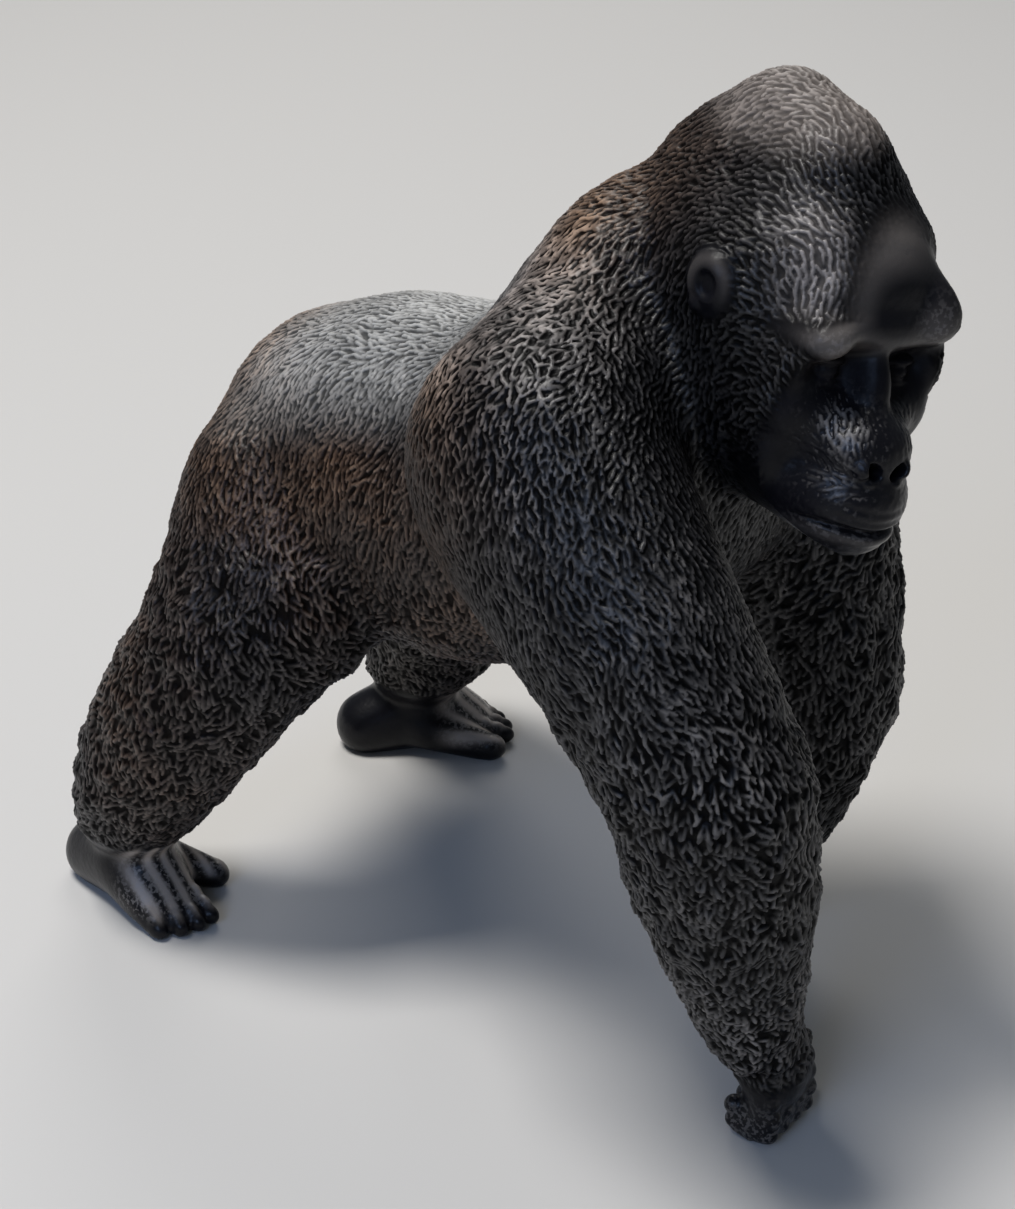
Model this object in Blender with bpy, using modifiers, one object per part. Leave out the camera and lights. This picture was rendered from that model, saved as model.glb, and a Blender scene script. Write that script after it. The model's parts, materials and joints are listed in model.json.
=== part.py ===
"""Gorilla figurine: a silverback walking on its knuckles, moulded as one solid piece.

The animal stands on the plane z = 0 and looks along -Y, so its left side is +X.
Each part of the body is a chain of ellipsoids, and each two neighbours in a chain are wrapped
in one convex skin, as a sculptor bridges lumps of wax. The chains are fused by a voxel remesh,
smoothed, thinned out, and cut flat under the soles and the knuckles.
"""

import math

import bmesh
import bpy
from mathutils import Matrix, Vector

MM = 0.001
LEFT, RIGHT = 1, -1

# Main sizes of the body, in millimetres.
HIP_HEIGHT = 42
BACK_RISE = 15  # from the hips up to the shoulders
TRUNK_LENGTH = 34  # from the hips ahead to the shoulders
HIPS_AHEAD = 9  # of the left ankle
HIP_HALF_WIDTH = 9
SHOULDER_HALF_WIDTH = 14
STANCE = 17  # from the middle out to the right ankle
ARM_STEP = 18.2  # the right hand, ahead of the shoulders
SHOULDER_HEIGHT = HIP_HEIGHT + BACK_RISE
SHOULDERS_AHEAD = HIPS_AHEAD + TRUNK_LENGTH

# Places in the body, in millimetres: (towards its left, ahead, up).
RUMP_AT = (0, HIPS_AHEAD - 2, HIP_HEIGHT + 3)
LOINS_AT = (0, HIPS_AHEAD + 7, HIP_HEIGHT + 3.5)
BELLY_AT = (0, SHOULDERS_AHEAD - 16, HIP_HEIGHT + 3.5)
RIBS_AT = (0, SHOULDERS_AHEAD - 6, SHOULDER_HEIGHT - 6)
CHEST_AT = (0, SHOULDERS_AHEAD + 2, SHOULDER_HEIGHT - 1)
SHOULDER_BLADES_AT = (0, SHOULDERS_AHEAD - 6.5, SHOULDER_HEIGHT)
NAPE_AT = (0, SHOULDERS_AHEAD - 1, SHOULDER_HEIGHT + 9)

HIP_AT = {
    LEFT: (HIP_HALF_WIDTH, HIPS_AHEAD, HIP_HEIGHT),
    RIGHT: (-HIP_HALF_WIDTH, HIPS_AHEAD, HIP_HEIGHT),
}
THIGH_AT = {
    LEFT: (STANCE - 5, HIPS_AHEAD + 3, HIP_HEIGHT - 6),
    RIGHT: (5 - STANCE, HIPS_AHEAD + 4, HIP_HEIGHT - 6),
}
KNEE_AT = {
    LEFT: (STANCE - 1, HIPS_AHEAD + 2, HIP_HEIGHT - 11),
    RIGHT: (1.5 - STANCE, HIPS_AHEAD + 1, HIP_HEIGHT - 10),
}
CALF_AT = {LEFT: (STANCE + 1, 6, 22), RIGHT: (-STANCE, 4.2, 23)}
SHIN_AT = {LEFT: (STANCE + 3, 3, 15), RIGHT: (-STANCE - 0.5, -0.5, 15)}
ANKLE_AT = {LEFT: (STANCE + 3.5, 0, 9.5), RIGHT: (-STANCE, -3.6, 9.5)}
FOOT_TURN = {LEFT: 44, RIGHT: -5}  # degrees, minus is towards its right

SHOULDER_AT = {
    LEFT: (SHOULDER_HALF_WIDTH, SHOULDERS_AHEAD, SHOULDER_HEIGHT),
    RIGHT: (-SHOULDER_HALF_WIDTH - 2, SHOULDERS_AHEAD, SHOULDER_HEIGHT + 1),
}
UPPER_ARM_AT = {
    LEFT: (SHOULDER_HALF_WIDTH + 0.7, SHOULDERS_AHEAD + 4.5, SHOULDER_HEIGHT - 16),
    RIGHT: (-SHOULDER_HALF_WIDTH - 5, SHOULDERS_AHEAD + ARM_STEP - 6.7, SHOULDER_HEIGHT - 8.5),
}
ELBOW_AT = {
    LEFT: (SHOULDER_HALF_WIDTH + 1.5, SHOULDERS_AHEAD + 6.3, 28),
    RIGHT: (-SHOULDER_HALF_WIDTH - 4.5, SHOULDERS_AHEAD + ARM_STEP - 0.2, 38),
}
FOREARM_AT = {
    LEFT: (SHOULDER_HALF_WIDTH - 0.2, SHOULDERS_AHEAD + 4.8, 20),
    RIGHT: (-SHOULDER_HALF_WIDTH - 2, SHOULDERS_AHEAD + ARM_STEP, 28),
}
WRIST_AT = {
    LEFT: (SHOULDER_HALF_WIDTH - 1.5, SHOULDERS_AHEAD + 3.5, 10),
    RIGHT: (3 - SHOULDER_HALF_WIDTH, SHOULDERS_AHEAD + ARM_STEP - 0.4, 12.5),
}
HAND_AT = {
    LEFT: (SHOULDER_HALF_WIDTH - 2.5, SHOULDERS_AHEAD + 2.5, 0),
    RIGHT: (6 - SHOULDER_HALF_WIDTH, SHOULDERS_AHEAD + ARM_STEP, 0),
}
HAND_TURN = {LEFT: 5, RIGHT: 0}

# The middle between the eyes; the head's parts are measured from here, along its own directions.
HEAD_AT = (-5, SHOULDERS_AHEAD + 21.7, SHOULDER_HEIGHT + 10.7)
HEAD_TURN = -22
HEAD_TILT = 7  # degrees, its left side is the lower

# The middle of the figurine's outline on the ground, which becomes the origin: (towards its left, ahead).
MIDDLE_AT = (0.8, HIPS_AHEAD + TRUNK_LENGTH / 2 + 2.4)

# Half sizes of the parts, in the same directions and millimetres.
RUMP = (12, 7.5, 11.5)
LOINS = (14.5, 9, 14.5)
BELLY = (15.5, 9.5, 15.5)
RIBS = (16.5, 10, 17)
CHEST = (16.5, 9, 15)
SHOULDER_BLADES = (15, 9, 12.5)
NAPE = (12.5, 9, 11)
HIP = (8, 8.5, 10)
THIGH = (8, 9, 9)
KNEE = (7.6, 8.8, 8)
CALF = (7.4, 8.4, 7.5)
SHIN = (6.6, 7.2, 6)
ANKLE = (5.4, 5.8, 4.5)
SHOULDER = (9, 11, 12)
UPPER_ARM = (8, 8.8, 9)
ELBOW = (7.5, 8.2, 8)
FOREARM = (7, 7.5, 7)
WRIST = (4.2, 4.4, 4)
PALM = (3.6, 3.4, 3)
PALM_HEIGHT = 7

# Toes and fingers, measured outwards, ahead and up from the point on the ground under the ankle or wrist.
TOES = 4
FIRST_TOE_OUT = -1.5
TOE_PITCH = 1.62
FOOT_REACH = 9.3
TOE_FALL = 0.28
BIG_TOE = {LEFT: ((-4.3, 6.8, 1.2), (1.4, 2, 1.5)), RIGHT: ((-5.8, 4.2, 1.2), (1.5, 1.8, 1.5))}
FINGERS = 4
FIRST_FINGER_OUT = -2.7
FINGER_PITCH = 1.8

# Making of the surface.
FORM_VOXEL = 0.8 * MM
FORM_SMOOTHING_COUNT = 14
DETAIL_VOXEL = 0.45 * MM
DETAIL_SMOOTHING_COUNT = 5
EVEN_TRIANGLE_COUNT = 20000  # first all over, which sets how fine the face, hands and feet stay
TRIANGLE_COUNT = 11500  # then the coat alone is made coarser, down to about this many in all
FACE_REACH = 14.5 * MM
HAND_AND_FOOT_HEIGHT = 8 * MM
SLAB_WIDTH = 200 * MM
SLAB_DEPTH = 20 * MM


def clear_scene():
    for item in list(bpy.data.objects):
        bpy.data.objects.remove(item)


def in_scene(centre):
    """A place in the body as Blender's metres."""
    side, ahead, up = centre
    return Vector((side - MIDDLE_AT[0], MIDDLE_AT[1] - ahead, up)) * MM


def in_part(centre):
    """The same for a place measured from a joint, in the frame of the head, a hand or a foot."""
    side, ahead, up = centre
    return Vector((side, -ahead, up)) * MM


def body_frame():
    return Matrix.Translation(in_scene((0, 0, 0)))


def wrap(shape, lumps, frame=None):
    """Adds to the bmesh a chain of ellipsoids, each (centre, half sizes), neighbours wrapped together."""
    frame = frame or body_frame()
    skins = [lumps] if len(lumps) == 1 else zip(lumps, lumps[1:])
    for pair in skins:
        points = []
        for centre, half in pair:
            ball = bmesh.new()
            bmesh.ops.create_icosphere(ball, subdivisions=3, radius=1)
            size = Matrix.Diagonal((half[0] * MM, half[1] * MM, half[2] * MM, 1))
            ball.transform(frame @ Matrix.Translation(in_part(centre)) @ size)
            points += [vertex.co.copy() for vertex in ball.verts]
            ball.free()
        skin = bmesh.new()
        for point in points:
            skin.verts.new(point)
        hull = bmesh.ops.convex_hull(skin, input=skin.verts)
        spare = {item for item in hull["geom_interior"] if isinstance(item, bmesh.types.BMVert)}
        bmesh.ops.delete(skin, geom=list(spare), context="VERTS")
        mesh = bpy.data.meshes.new("skin")
        skin.to_mesh(mesh)
        skin.free()
        shape.from_mesh(mesh)
        bpy.data.meshes.remove(mesh)


def torso(shape):
    wrap(shape, [(RUMP_AT, RUMP), (LOINS_AT, LOINS), (BELLY_AT, BELLY), (RIBS_AT, RIBS), (CHEST_AT, CHEST)])
    wrap(shape, [(RIBS_AT, RIBS), (SHOULDER_BLADES_AT, SHOULDER_BLADES), (NAPE_AT, NAPE)])


def leg(shape, side):
    wrap(shape, [(HIP_AT[side], HIP), (KNEE_AT[side], KNEE)])
    wrap(
        shape,
        [
            (HIP_AT[side], HIP),
            (THIGH_AT[side], THIGH),
            (KNEE_AT[side], KNEE),
            (CALF_AT[side], CALF),
            (SHIN_AT[side], SHIN),
            (ANKLE_AT[side], ANKLE),
        ],
    )


def arm(shape, side):
    withers = ((6 * side, 42, 64), (8, 8, 9))
    wrap(
        shape,
        [
            withers,
            (SHOULDER_AT[side], SHOULDER),
            (UPPER_ARM_AT[side], UPPER_ARM),
            (ELBOW_AT[side], ELBOW),
            (FOREARM_AT[side], FOREARM),
            (WRIST_AT[side], WRIST),
        ],
    )


def head_frame():
    turn = Matrix.Rotation(math.radians(HEAD_TURN), 4, "Z")
    tilt = Matrix.Rotation(math.radians(HEAD_TILT), 4, "Y")
    return Matrix.Translation(in_scene(HEAD_AT)) @ turn @ tilt


def skull(shape):
    frame = head_frame()
    braincase = ((0, -9.5, 4), (10, 8.8, 9))
    occiput = ((0, -16, 4), (9.5, 8.5, 9.5))
    crest = ((0, -8.4, 12), (4.8, 4.8, 5.8))
    crown = ((0, -14.5, 12.5), (4.6, 5, 6.6))
    neck = ((0, -21, -3), (12, 9, 11))
    wrap(shape, [braincase, crest, crown, occiput, braincase], frame)
    wrap(shape, [crown, ((0, -20, 7), (6.5, 6.5, 8)), neck], frame)
    wrap(shape, [occiput, neck], frame)
    wrap(shape, [braincase, ((0, -9, -4.5), (8.6, 7.6, 7)), ((0, -7.5, -8), (6.8, 5.5, 5))], frame)
    wrap(shape, [((0, -5, 8), (7.2, 4.7, 4.5)), ((0, -5, 0), (7, 5, 6))], frame)


def face(shape):
    frame = head_frame()
    brow = ((0, -0.5, 3), (2, 1.9, 1.5))
    bridge = ((0, -0.6, -1), (1.3, 1.5, 1.6))
    nose = ((0, 1, -6), (1.7, 2.1, 1.9))
    muzzle = ((0, -1.7, -8.4), (4.4, 4.7, 3.8))
    upper_lip = ((0, -0.9, -9.7), (4.2, 4, 1))
    lower_lip = ((0, -1.5, -11.5), (3.8, 4.1, 0.9))
    chin = ((0, -2.4, -12.4), (3.4, 3.8, 1.8))
    for side in (LEFT, RIGHT):
        brow_end = ((3.9 * side, -0.4, 3.1), (2.1, 1.9, 1.9))
        temple = ((4.2 * side, -3.5, 3.6), (2, 2, 1.8))
        eye = ((3.3 * side, -1.25, 0), (1.4, 1.3, 1.3))
        cheekbone = ((4.8 * side, -2.7, -2.4), (2, 2.4, 1.7))
        cheek = ((5.5 * side, -6.2, -4), (2.4, 2.6, 3.4))
        muzzle_side = ((3.4 * side, -2.6, -7), (2.2, 3, 2.6))
        under_eye = ((2.6 * side, -2.1, -3.6), (1.8, 2, 1.8))
        wrap(shape, [brow, brow_end, temple], frame)
        wrap(shape, [eye], frame)
        wrap(shape, [under_eye, cheekbone, cheek, muzzle_side, cheekbone], frame)
        wrap(shape, [((1.3 * side, 1.1, -6.2), (1.05, 1.7, 1.5))], frame)
    wrap(shape, [((0, -5.6, -2.5), (6.8, 5.2, 6))], frame)
    wrap(shape, [bridge, nose], frame)
    wrap(shape, [muzzle, upper_lip], frame)
    wrap(shape, [lower_lip, chin], frame)


def ear(shape, side):
    wrap(shape, [((9.3 * side, -8.8, 5.2), (1.2, 2.1, 2.5))], head_frame())


def ground_frame(joint, turn, side):
    """On the ground under a wrist or ankle, turned towards the left, and mirrored on the right side."""
    under = Matrix.Translation(in_scene((joint[0], joint[1], 0)))
    return under @ Matrix.Rotation(math.radians(turn), 4, "Z") @ Matrix.Diagonal((side, 1, 1, 1))


def foot(shape, side):
    """A flat foot, whose big toe stands apart."""
    frame = ground_frame(ANKLE_AT[side], FOOT_TURN[side], side)
    heel = ((0, -5.6, 2.4), (3.4, 3.2, 3.4))
    instep = ((0.2, 0, 4), (4, 4.5, 4.4))
    ball = ((0.9, 4.5, 2), (3.7, 3, 2.4))
    wrap(shape, [heel, instep, ball], frame)
    for number in range(TOES):
        out = FIRST_TOE_OUT + TOE_PITCH * number
        tip = FOOT_REACH - TOE_FALL * (number - 0.5) ** 2
        knuckle = ((out, 5, 1.9), (0.95, 1.6, 1.3))
        pad = ((out + 0.1, tip - 1.2, 0.9), (0.9, 1.3, 1.1))
        wrap(shape, [knuckle, pad], frame)
    big_root = ((-2.5, 0, 3), (1.9, 2.2, 2.4))
    wrap(shape, [big_root, BIG_TOE[side]], frame)


def hand(shape, side):
    """The fist that the arm stands on, with the fingers' middle joints on the ground."""
    frame = ground_frame(HAND_AT[side], HAND_TURN[side], side)
    wrap(shape, [((0.5, 0, 8.5), (3.6, 3.3, 3)), ((0, 0.8, 5), (3.7, 2.6, 2.6))], frame)
    for number in range(FINGERS):
        out = FIRST_FINGER_OUT + FINGER_PITCH * number
        knuckle = ((out, 1.4, 5.5), (1.0, 1.4, 1.4))
        middle_joint = ((out, 1.6, 1.4), (1.0, 1.2, 1.5))
        end_joint = ((out, -1.0, 1.0), (1.0, 1.0, 1.2))
        tip = ((out, -1.0, 2.4), (0.95, 0.9, 1.0))
        wrap(shape, [knuckle, middle_joint, end_joint, tip], frame)
    wrap(shape, [((-2.6, 0.4, 7), (1.4, 1.6, 1.6)), ((-3.8, 0.8, 3.2), (1.0, 1.2, 1.5))], frame)


def fused(name, shape, voxel, rounds):
    """The chains in the bmesh as one closed mesh: remeshed in cubes of the voxel's size, then smoothed."""
    mesh = bpy.data.meshes.new(name)
    shape.to_mesh(mesh)
    shape.free()
    holder = bpy.data.objects.new(name, mesh)
    bpy.context.scene.collection.objects.link(holder)
    remesh = holder.modifiers.new("fuse", "REMESH")
    remesh.mode = "VOXEL"
    remesh.voxel_size = voxel
    smooth = holder.modifiers.new("soften", "SMOOTH")
    smooth.factor = 0.5
    smooth.iterations = rounds
    graph = bpy.context.evaluated_depsgraph_get()
    result = bpy.data.meshes.new_from_object(holder.evaluated_get(graph))
    bpy.data.objects.remove(holder)
    return result


def body_form():
    shape = bmesh.new()
    torso(shape)
    skull(shape)
    for side in (LEFT, RIGHT):
        leg(shape, side)
        arm(shape, side)
        palm_at = (HAND_AT[side][0], HAND_AT[side][1], PALM_HEIGHT)
        wrap(shape, [(WRIST_AT[side], WRIST), (palm_at, PALM)])
    return fused("form", shape, FORM_VOXEL, FORM_SMOOTHING_COUNT)


def body_detail(form):
    shape = bmesh.new()
    shape.from_mesh(form)
    face(shape)
    for side in (LEFT, RIGHT):
        ear(shape, side)
        foot(shape, side)
        hand(shape, side)
    return fused("gorilla", shape, DETAIL_VOXEL, DETAIL_SMOOTHING_COUNT)


def mark_coat(gorilla):
    """Puts the coat in a vertex group, which leaves out the face, the hands and the feet."""
    face_at = in_scene(HEAD_AT)
    coat = gorilla.vertex_groups.new(name="coat")
    for vertex in gorilla.data.vertices:
        in_face = (vertex.co - face_at).length < FACE_REACH
        if not in_face and vertex.co.z > HAND_AND_FOOT_HEIGHT:
            coat.add([vertex.index], 1, "REPLACE")


def thin_out(gorilla):
    mark_coat(gorilla)
    gorilla.data.calc_loop_triangles()
    even = gorilla.modifiers.new("thin_out", "DECIMATE")
    even.ratio = EVEN_TRIANGLE_COUNT / len(gorilla.data.loop_triangles)
    coat = gorilla.modifiers.new("thin_out_coat", "DECIMATE")
    coat.ratio = TRIANGLE_COUNT / EVEN_TRIANGLE_COUNT
    coat.vertex_group = "coat"


def ground_cutter(collection):
    """A slab under the plane z = 0."""
    bpy.ops.mesh.primitive_cube_add(size=1, location=(0, 0, -SLAB_DEPTH / 2))
    cutter = bpy.context.object
    cutter.name = "ground_cutter"
    cutter.scale = (SLAB_WIDTH, SLAB_WIDTH, SLAB_DEPTH)
    bpy.ops.object.transform_apply(location=False, rotation=False, scale=True)
    cutter.hide_render = True
    cutter.display_type = "WIRE"
    for owner in cutter.users_collection:
        owner.objects.unlink(cutter)
    collection.objects.link(cutter)
    return cutter


def plastic():
    material = bpy.data.materials.new("black_brown_plastic")
    material.use_nodes = True
    shader = material.node_tree.nodes["Principled BSDF"]
    shader.inputs["Base Color"].default_value = (0.035, 0.03, 0.03, 1)
    shader.inputs["Roughness"].default_value = 0.45
    return material


def main():
    clear_scene()
    parts = bpy.data.collections.new("gorilla_figurine")
    cutters = bpy.data.collections.new("cutters")
    bpy.context.scene.collection.children.link(parts)
    bpy.context.scene.collection.children.link(cutters)
    mesh = body_detail(body_form())
    gorilla = bpy.data.objects.new("gorilla", mesh)
    parts.objects.link(gorilla)
    mesh.materials.append(plastic())
    thin_out(gorilla)
    flat = gorilla.modifiers.new("flat_soles", "BOOLEAN")
    flat.operation = "DIFFERENCE"
    flat.object = ground_cutter(cutters)
    mesh.shade_smooth()


main()
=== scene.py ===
# %% [markdown]
# # A gorilla figurine
#
# A silverback walks on its knuckles. The real one is moulded in a single piece of plastic, with the hair
# cut into the mould as short wavy strands, and then painted: charcoal all over, a silver saddle on the
# loins, and light paint dragged over the tips of the hair. The face, hands and feet are bare and a little
# glossy.
#
# The solid from the frame gives the body's masses. This lesson refines that solid into a fine skin, models
# the face, lays thousands of strands of hair along the body, and paints the result.

# %% The frame
import json
import math
import bpy
import numpy as np
from mathutils import Matrix, Vector, kdtree, noise

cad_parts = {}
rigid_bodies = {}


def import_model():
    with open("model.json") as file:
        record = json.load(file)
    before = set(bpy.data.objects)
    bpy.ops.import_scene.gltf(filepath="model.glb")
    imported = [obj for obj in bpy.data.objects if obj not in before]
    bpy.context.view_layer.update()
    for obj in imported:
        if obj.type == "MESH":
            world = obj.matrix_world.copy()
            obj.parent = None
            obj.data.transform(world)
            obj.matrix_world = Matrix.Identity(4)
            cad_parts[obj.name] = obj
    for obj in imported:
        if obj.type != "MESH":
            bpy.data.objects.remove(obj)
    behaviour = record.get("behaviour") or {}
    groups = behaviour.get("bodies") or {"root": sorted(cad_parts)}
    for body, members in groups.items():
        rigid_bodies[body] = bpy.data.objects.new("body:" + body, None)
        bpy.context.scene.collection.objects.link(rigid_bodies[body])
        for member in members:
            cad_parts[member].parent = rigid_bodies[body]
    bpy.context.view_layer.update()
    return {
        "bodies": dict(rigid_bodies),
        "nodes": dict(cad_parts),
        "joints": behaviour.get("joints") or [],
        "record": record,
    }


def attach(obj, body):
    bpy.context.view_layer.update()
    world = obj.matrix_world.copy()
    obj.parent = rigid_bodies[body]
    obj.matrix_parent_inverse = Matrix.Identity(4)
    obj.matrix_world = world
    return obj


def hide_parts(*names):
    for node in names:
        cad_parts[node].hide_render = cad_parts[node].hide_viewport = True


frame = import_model()
solid = frame["nodes"]["gorilla"]

# %% [markdown]
# ## Places on the animal
#
# A place on the body is given in millimetres as (towards its left, ahead, up), and turned into the frame's
# metres by one function. The animal looks along -Y. The head is turned and tilted, so the places on the
# face are measured from the middle between the eyes, along the head's own directions.

# %% Measures
MM = 0.001
LEFT, RIGHT = 1, -1
MIDDLE_AT = (0.8, 28.4)
HEAD_AT = (-5, 64.7, 67.7)
HEAD_TURN = -22
HEAD_TILT = 7
FACE_TILT = 13  # the face is tilted a little more than the skull


def in_scene(place):
    side, ahead, up = place
    return Vector((side - MIDDLE_AT[0], MIDDLE_AT[1] - ahead, up)) * MM


def on_part(place):
    side, ahead, up = place
    return Vector((side, -ahead, up)) * MM


turned_head = Matrix.Translation(in_scene(HEAD_AT)) @ Matrix.Rotation(math.radians(HEAD_TURN), 4, "Z")
head_frame = turned_head @ Matrix.Rotation(math.radians(HEAD_TILT), 4, "Y")
face_frame = turned_head @ Matrix.Rotation(math.radians(FACE_TILT), 4, "Y")
print("the middle between the eyes is at", [round(1000 * part, 1) for part in turned_head.translation], "mm")

# %% [markdown]
# ## From the solid to a fine skin
#
# The solid is faceted, because it has few triangles. A copy of it is merged, subdivided twice to round the
# facets, and remeshed in small even cubes, which gives hair and face something to be shaped from.

# %% The first skin
FORM_VOXEL = 0.35 * MM
SKIN_VOXEL = 0.17 * MM
MERGE_WITHIN = 0.001 * MM
ROUNDINGS = 2


def alone(piece):
    """Leaves only this piece selected and active."""
    bpy.ops.object.select_all(action="DESELECT")
    piece.select_set(True)
    bpy.context.view_layer.objects.active = piece


def applied(piece, kind, **settings):
    """Adds a modifier with these settings and applies it."""
    alone(piece)
    modifier = piece.modifiers.new(kind.lower(), kind)
    for name, value in settings.items():
        setattr(modifier, name, value)
    bpy.ops.object.modifier_apply(modifier=modifier.name)


skin = bpy.data.objects.new("gorilla_skin", solid.data.copy())
bpy.context.scene.collection.objects.link(skin)
alone(skin)
bpy.ops.object.mode_set(mode="EDIT")
bpy.ops.mesh.select_all(action="SELECT")
bpy.ops.mesh.remove_doubles(threshold=MERGE_WITHIN)
bpy.ops.object.mode_set(mode="OBJECT")
applied(skin, "SUBSURF", levels=ROUNDINGS, render_levels=ROUNDINGS)
applied(skin, "REMESH", mode="VOXEL", voxel_size=FORM_VOXEL)
applied(skin, "SMOOTH", factor=0.5, iterations=4)
print("the first skin has", len(skin.data.vertices), "points")

# %% [markdown]
# ## Moving the skin's points
#
# The rest of the modelling moves points of the skin, as a sculptor's tool does. The points and their
# normals are read into arrays, changed there, and written back.

# %% Reading and writing points


def numbers(items, name, width):
    found = np.empty(len(items) * width, np.float32)
    items.foreach_get(name, found)
    return found.reshape(-1, width).astype(np.float64)


def points_of(piece):
    return numbers(piece.data.vertices, "co", 3)


def normals_of(piece):
    return numbers(piece.data.vertex_normals, "vector", 3)


def put_points(piece, points):
    piece.data.vertices.foreach_set("co", points.astype(np.float32).ravel())
    piece.data.update()


print("the skin has", len(points_of(skin)), "points and", len(normals_of(skin)), "normals")

# %% [markdown]
# ## Measuring on the skin
#
# Forms and paint both have to know where a point lies. Two functions turn points back into the millimetres
# of the body or of a part of it. Others give soft shares for a place, because a hard edge would show, in
# the shape and in the paint, and one repeats a table's rows on both sides.

# %% Places and soft shares


def smooth_step(low, high, values):
    share = np.clip((values - low) / (high - low), 0, 1)
    return share * share * (3 - 2 * share)


def blob(places, centre, reach, share):
    """A soft spot: its whole share in its middle, an eighth of it at its reach, and soon none beyond."""
    return share * np.exp(-2 * np.sum(((places - centre) / reach) ** 2, axis=1))


def to_part(points, frame):
    """Points in millimetres along a frame's own directions: (towards its left, ahead, up)."""
    back = np.array(frame.inverted())
    local = points @ back[:3, :3].T + back[:3, 3]
    return local * [1, -1, 1] / MM


def to_body(points):
    """Points in millimetres as (towards its left, ahead, up)."""
    return points / MM * [1, -1, 1] + [MIDDLE_AT[0], MIDDLE_AT[1], 0]


def oval_share(side, up, middle, half, edge):
    """1 inside an oval and 0 outside it, where the edge is between two shares of the oval's half sizes."""
    return 1 - smooth_step(*edge, np.hypot((side - middle[0]) / half[0], (up - middle[1]) / half[1]))


def spots(places, table, start=0):
    """The sum of a table's soft spots, each given by its centre, reach and share."""
    return sum((blob(places, *spot) for spot in table), start)


def paired(table):
    """The table's rows for the left side, and then the same ones for the right side."""
    return [((mirror * centre[0], *centre[1:]), *rest) for mirror in (LEFT, RIGHT) for centre, *rest in table]


print("the skin's middle is at", np.round(to_body(points_of(skin)).mean(axis=0), 1), "mm on the body")

# %% [markdown]
# ## The face
#
# The face is a mask of rounded forms: forehead, brow with a lobe over each eye, cheekbones, nose, muzzle,
# lips and chin. Each form is the front of an ellipsoid, given by its centre and half sizes in millimetres.
# Where forms meet, a soft maximum rounds the crease between them.

# %% Forms of the face
LOW_CREASE, BROW_CREASE, BROW_FROM = 0.34, 0.75, (1.5, 4)
BROAD_FORMS = [
    ((0, -6.0, -2.5), (7.4, 5.0, 8.5)),
    ((0, -4.6, 7.0), (8.0, 4.2, 6.8)),
    ((0, -2.6, 5.2), (6.4, 3.0, 4.0)),
    ((0.3, -1.4, 3.4), (5.6, 2.1, 1.7)),
    ((-5.0, -0.9, 2.7), (2.3, 2.2, 1.7)),
    ((4.7, -1.1, 4.9), (2.3, 2.4, 2.7)),
    ((0, -0.6, -2.2), (1.7, 2.2, 4.4)),
    ((0, 0.2, -5.0), (3.9, 3.7, 3.2)),
    ((0.2, -1.5, -8.8), (4.9, 5.9, 4.7)),
    ((0.3, -1.8, -11.3), (4.4, 5.6, 1.3)),
    ((0.3, -2.3, -12.2), (4.1, 5.1, 1.6)),
]
PAIRED_BROAD_FORMS = [
    ((6.3, -3.1, 0.6), (1.7, 2.4, 3.1)),
    ((4.9, -3.5, -2.9), (2.8, 3.0, 3.4)),
    ((2.7, -2.1, -3.3), (2.7, 2.6, 2.4)),
    ((5.2, -5.2, -6.0), (2.6, 3.6, 4.8)),
]
print("forms of the face:", len(BROAD_FORMS), "in the middle and", len(PAIRED_BROAD_FORMS), "on each side")

# %% [markdown]
# ## Wax over the forms
#
# A sculptor would press the forms together and smooth them with a thumb. Here their fronts are worked out
# on a fine grid that stands before the face, joined by the soft maximum and blurred a little. The grid is
# made once and read for every point, because the skin has hundreds of thousands of points.

# %% Wax
WAX_GRID = 0.1
WAX_SOFTNESS = 0.38
wax_sides = np.arange(-11, 11, WAX_GRID)
wax_ups = np.arange(-17, 14, WAX_GRID)


def fronts(side, up, forms):
    """How far ahead each form lies at each (side, up)."""
    for centre, half in forms:
        out = ((side - centre[0]) / half[0]) ** 2 + ((up - centre[2]) / half[2]) ** 2
        yield centre[1] + half[1] * np.where(out < 1, np.sqrt(np.maximum(1 - out, 0)), 2 * (1 - np.sqrt(out)))


def soft_maximum(layers, crease):
    total = sum(np.exp(np.clip(layer, -30, 30) / crease) for layer in layers)
    return crease * np.log(np.maximum(total, 1e-30))


def softened(grid, reach):
    """The grid blurred by a bell curve this many cells wide."""
    edge = 3 * int(reach + 1)
    bell = np.exp(-0.5 * (np.arange(-edge, edge + 1) / reach) ** 2)
    bell /= bell.sum()
    for turned in (0, 1):
        padded = np.pad(grid, ((edge, edge), (0, 0)), mode="edge")
        grid = sum(share * padded[start : start + len(grid)] for start, share in enumerate(bell)).T
    return grid


wax_side, wax_up = np.meshgrid(wax_sides, wax_ups)
crease = LOW_CREASE + (BROW_CREASE - LOW_CREASE) * smooth_step(*BROW_FROM, wax_up)
wax = soft_maximum(fronts(wax_side, wax_up, BROAD_FORMS + paired(PAIRED_BROAD_FORMS)), crease)
wax = softened(wax, WAX_SOFTNESS / WAX_GRID)
back, front = round(float(wax.min()), 1), round(float(wax.max()), 1)
print("the face reaches from", back, "to", front, "mm ahead of the eyes")

# %% [markdown]
# ## Eyelids, nostrils and mouth
#
# The finest forms come on top of the smoothed wax, so that they stay crisp: the eyes with their lids and
# the wings of the nose. The mouth and the wrinkles round it are then pressed in as grooves with a rounded
# floor, and the nostrils as two slanted holes, because a sharp groove would be lost in the skin's cubes.

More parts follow.
